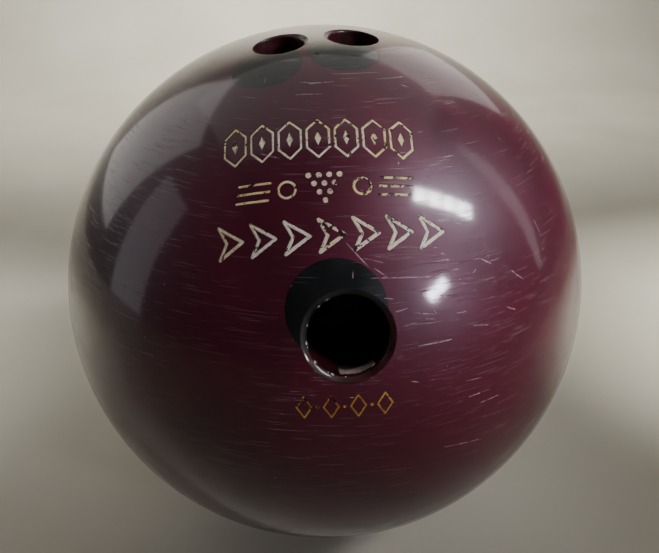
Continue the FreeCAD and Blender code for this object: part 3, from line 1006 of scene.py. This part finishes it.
# plugs come first: they are cut by the bores and the wear, but the engraving was there before them
grooveTools = [tool for tool in toolShelf.objects if tool.name.startswith("groove.")]
boreTools = [tool for tool in toolShelf.objects if tool.name.startswith("bore.")]
for tool in grooveTools:
    toolShelf.objects.unlink(tool)
for tool in boreTools:
    tool.data.materials[0] = drilledResin
for name, node, place, axis, size in plugPlans:
    blank = sphereBlank(name + ".blank", ballRadius, ballBuild["detail"], plugResin)
    outer = plugTool(name + ".outer", place, axis, size, drilledResin, ballBuild["plugGap"] / 2)
    toolShelf.objects.unlink(outer)
    scene.collection.objects.link(outer)
    booleanWith(blank, outer, "INTERSECT")
    settle(blank)
    bpy.data.objects.remove(outer)
    plug = carve(name, blank, plugResin)
    bpy.data.objects.remove(blank)
    handOver(plug, node)
    print(name, len(plug.data.polygons), "faces")

# the cover is a shell, cut by everything
for tool in grooveTools:
    toolShelf.objects.link(tool)
for tool in boreTools:
    tool.data.materials[0] = drilledPolyester
for name, node, place, axis, size in plugPlans:
    plugTool(name + ".hole", place, axis, size, drilledPolyester, -ballBuild["plugGap"] / 2)
coverBlank = sphereBlank("coverBlank", ballRadius, ballBuild["detail"], polyester)
innerRadius = ballRadius - ballBuild["coverThickness"] * mm
hollow = sphereBlank("hollow", innerRadius, ballBuild["innerDetail"], drilledPolyester)
booleanWith(coverBlank, hollow, "DIFFERENCE")
settle(coverBlank)
bpy.data.objects.remove(hollow)
cover = carve("coverShell", coverBlank, polyester)
bpy.data.objects.remove(coverBlank)
handOver(cover, "cover_shell")
print("cover", len(cover.data.polygons), "faces")

# paint in the grooves
for key, slotName, node, material in (
        ("upper", "cream_paint", "upper_emblem_paint", creamPaint),
        ("middle", "cream_paint", "middle_emblem_paint", creamPaint),
        ("lower", "cream_paint", "lower_emblem_paint", creamPaint),
        ("owner", "gold_paint", "owner_mark_paint", goldPaint)):
    figures = rowFigures(key, paintSection, rows[key]["stroke"] + 2 * paintOverlap)
    laid = layRow(f"paint.{key}", places[key], figures, material)
    paint = meshObject(f"{key}RowPaint", *laid, material=material)
    shadeSmooth(paint.data, 40)
    handOver(paint, node)
print("paint filled in")


# tape: a thin strip that follows the thumb hole's wall, worn ragged at its edges

def makeTape():
    axis = thumbHole["axis"]
    side = around(thumbPlace, tape["bearing"])
    across = axis.cross(side)
    radius = thumbHole["radius"] - 0.01
    top = -thumbHole["wallStart"] - tape["belowBevel"]
    halfAngle = tape["width"] / 2 / radius
    points, faces = [], []
    for row in range(tape["rows"] + 1):
        t = row / tape["rows"]
        for column in range(tape["columns"] + 1):
            u = 2 * column / tape["columns"] - 1
            sideRag = abs(wander(1.0 if u > 0 else 2.0, t * 5, 3.1))
            angle = u * halfAngle * (1 - 0.16 * sideRag)
            topRag = tape["ragged"] * abs(wander(u * 5, 7.7, 0.4) + 0.4 * wander(u * 17, 2.2, 0.4))
            footRag = 2 * tape["ragged"] * abs(wander(u * 4, 3.3, 5.0))
            height = top - topRag - t * (tape["length"] - topRag - footRag)
            lift = 0.02 * (1 + wander(u * 5, t * 30, 1.0))
            out = side * math.cos(angle) + across * math.sin(angle)
            points.append(thumbHole["mouth"] + axis * height * mm + out * (radius - lift) * mm)
    wide = tape["columns"] + 1
    for row in range(tape["rows"]):
        for column in range(tape["columns"]):
            corner = row * wide + column
            faces.append((corner, corner + 1, corner + wide + 1, corner + wide))
    strip = meshObject("thumbTape", points, faces, tapeCloth)
    bm = bmesh.new()
    bm.from_mesh(strip.data)
    bmesh.ops.recalc_face_normals(bm, faces=bm.faces)
    middle = bm.faces[len(bm.faces) // 2]
    if middle.normal.dot(side) > 0:
        bmesh.ops.reverse_faces(bm, faces=bm.faces)
    bm.to_mesh(strip.data)
    bm.free()
    thick = strip.modifiers.new("thickness", "SOLIDIFY")
    thick.thickness = tape["thickness"] * mm
    thick.offset = 1.0
    settle(strip)
    shadeSmooth(strip.data, 40)
    handOver(strip, "thumb_tape")


makeTape()
print("tape made")


# the CAD core and weight block stay as they are, seen only down the holes

def dressNode(node, material):
    target = frame["nodes"][node].data
    target.materials.clear()
    target.materials.append(material)


dressNode("inner_core", coreFiller)
dressNode("weight_block", blockResin)


# the tools go
for shelf in [toolShelf, *wearShelves.values()]:
    for tool in list(shelf.objects):
        bpy.data.objects.remove(tool)
    bpy.data.collections.remove(shelf)
print("tools cleared")


# stage, light and camera

stage = {"floorSize": 3.2, "wallDistance": 1.15, "wallHeight": 1.1, "wallWidth": 3.2, "curve": 0.25,
         "curveSteps": 12, "low": (0.50, 0.47, 0.38), "high": (0.56, 0.53, 0.44), "blotchScale": 6.0}


def paleMatt(name):
    material, tree, shader, place = newMaterial(name)
    blotch = span(tree, noiseField(tree, place, stage["blotchScale"], 4.0), 0.35, 0.65)
    feed(tree, shader, {
        "Base Color": mixColour(tree, blotch, stage["low"], stage["high"]), "Roughness": 0.75})
    return material


def makeStage():
    low = -ballRadius
    half, back, top = stage["floorSize"] / 2, stage["wallDistance"], stage["wallHeight"]
    bend, steps = stage["curve"], stage["curveSteps"]
    line = [(-half, low), (back - bend, low)]
    for step in range(1, steps + 1):
        turn = math.pi / 2 * step / steps
        line.append((back - bend + bend * math.sin(turn), low + bend - bend * math.cos(turn)))
    line.append((back, top))
    points, faces = [], []
    for y, z in line:
        points += [(-stage["wallWidth"] / 2, y, z), (stage["wallWidth"] / 2, y, z)]
    for step in range(len(line) - 1):
        faces.append((2 * step, 2 * step + 1, 2 * step + 3, 2 * step + 2))
    floor = meshObject("paleFloor", points, faces, paleMatt("paleFloorPaint"))
    for polygon in floor.data.polygons:
        polygon.use_smooth = True


# each light is a strip of softboxes aimed at the ball: from one end to the other as bearing from the front
# towards +X and height, how many boxes, their width and fan in degrees, and the whole strip's watts
plainBox = {"boxes": 1, "fan": 180, "distance": 1.2, "shape": "RECTANGLE"}
lights = [
    {**plainBox, "name": "window", "top": (53, 50), "foot": (72.5, 31.8), "boxes": 4, "width": 5.3, "fan": 16,
     "distance": 1.3, "power": 0.165, "colour": (0.95, 0.97, 1.0)},
    {**plainBox, "name": "lowWindow", "top": (46.4, 18.2), "foot": (37.6, 14.4), "boxes": 2, "width": 4.0,
     "fan": 16, "distance": 1.3, "power": 0.060, "colour": (0.93, 0.90, 1.0)},
    {**plainBox, "name": "sideStrip", "top": (98.4, 46), "foot": (92.8, 0), "width": 7.0, "power": 0.46,
     "shape": "ELLIPSE", "colour": (1.0, 0.95, 0.97)},
    {**plainBox, "name": "leftWall", "top": (-88, 36), "foot": (-88, -4), "width": 19, "power": 0.78,
     "colour": (0.94, 0.96, 1.0)},
    {**plainBox, "name": "leftWallTop", "top": (-126, 50), "foot": (-126, 6), "width": 32, "power": 2.3,
     "colour": (1.0, 0.98, 0.94)},
    {**plainBox, "name": "backWindow", "top": (146, 48), "foot": (146, 18), "width": 24, "distance": 1.15,
     "power": 1.2, "colour": (1.0, 0.97, 0.94)},
    {**plainBox, "name": "ceiling", "top": (180, 50), "foot": (0, 82), "width": 70, "distance": 1.1,
     "power": 1.8, "colour": (1.0, 0.98, 0.95)},
]
# hooded lamps for the floor beside the ball and for the wall, none of which reaches the ball
washes = [
    {"name": "leftWash", "from": (0.05, 0.12, 0.80), "at": (-0.36, 0.12, -0.11), "size": 0.04, "fan": 26,
     "power": 0.17},
    {"name": "rightWash", "from": (-0.05, 0.12, 0.80), "at": (0.36, 0.12, -0.11), "size": 0.04, "fan": 26,
     "power": 0.42},
    {"name": "wallWash", "from": (0.0, 0.45, 0.90), "at": (0.0, 1.15, 0.30), "size": 0.4, "fan": 110,
     "power": 11.0},
]
washColour = (1.0, 0.99, 0.96)
dimRoom = {"Color": (0.85, 0.85, 0.90, 1.0), "Strength": 0.045}


def towards(bearing, height):
    turn, rise = math.radians(bearing), math.radians(height)
    return Vector((math.sin(turn) * math.cos(rise), -math.cos(turn) * math.cos(rise), math.sin(rise)))


def areaLamp(name, place, facing, size, power, colour, fan, shape="RECTANGLE"):
    light = bpy.data.lights.new(name, "AREA")
    light.shape = shape
    light.size, light.size_y = size
    light.energy = power
    light.color = colour
    light.spread = math.radians(fan)
    newPiece(name, light).matrix_world = Matrix.Translation(place) @ facing.to_4x4()


def makeLights():
    for plan in lights:
        top, foot = towards(*plan["top"]), towards(*plan["foot"])
        boxes = plan["boxes"]
        width = 2 * plan["distance"] * math.tan(math.radians(plan["width"] / 2))
        for box in range(boxes):
            start, end = top.slerp(foot, box / boxes), top.slerp(foot, (box + 1) / boxes)
            middle = (start + end).normalized()
            along = (start - middle * start.dot(middle)).normalized()
            length = 2 * plan["distance"] * math.tan(start.angle(end) / 2)
            areaLamp(f"{plan['name']}{box}", middle * plan["distance"],
                     Matrix((along.cross(middle), along, middle)).transposed(), (width, length),
                     plan["power"] / boxes, plan["colour"], plan["fan"], plan["shape"])
    for plan in washes:
        place = Vector(plan["from"])
        facing = (place - Vector(plan["at"])).to_track_quat("Z", "Y").to_matrix()
        size = plan["size"], plan["size"]
        areaLamp(plan["name"], place, facing, size, plan["power"], washColour, plan["fan"])
    world = bpy.data.worlds.new("dimRoom")
    world.use_nodes = True
    feed(world.node_tree, world.node_tree.nodes["Background"], dimRoom)
    scene.world = world


cameraPlan = {"bearing": -3.78, "height": 27.24, "distanceInRadii": 2.742, "lens": 35.8,
              "panRight": 0.365, "tiltUp": 0.348, "roll": -0.17}


def makeCamera():
    away = towards(cameraPlan["bearing"], cameraPlan["height"])
    lens = bpy.data.cameras.new("camera")
    lens.lens = cameraPlan["lens"]
    lens.sensor_width = 36.0
    lens.clip_start = 0.01
    camera = newPiece("camera", lens)
    turn = away.to_track_quat("Z", "Y").to_matrix().to_4x4()
    nudge = (Matrix.Rotation(math.radians(-cameraPlan["panRight"]), 4, "Y")
             @ Matrix.Rotation(math.radians(cameraPlan["tiltUp"]), 4, "X")
             @ Matrix.Rotation(math.radians(cameraPlan["roll"]), 4, "Z"))
    camera.matrix_world = Matrix.Translation(away * cameraPlan["distanceInRadii"] * ballRadius) @ turn @ nudge
    scene.camera = camera


makeStage()
makeLights()
makeCamera()
print("stage set")
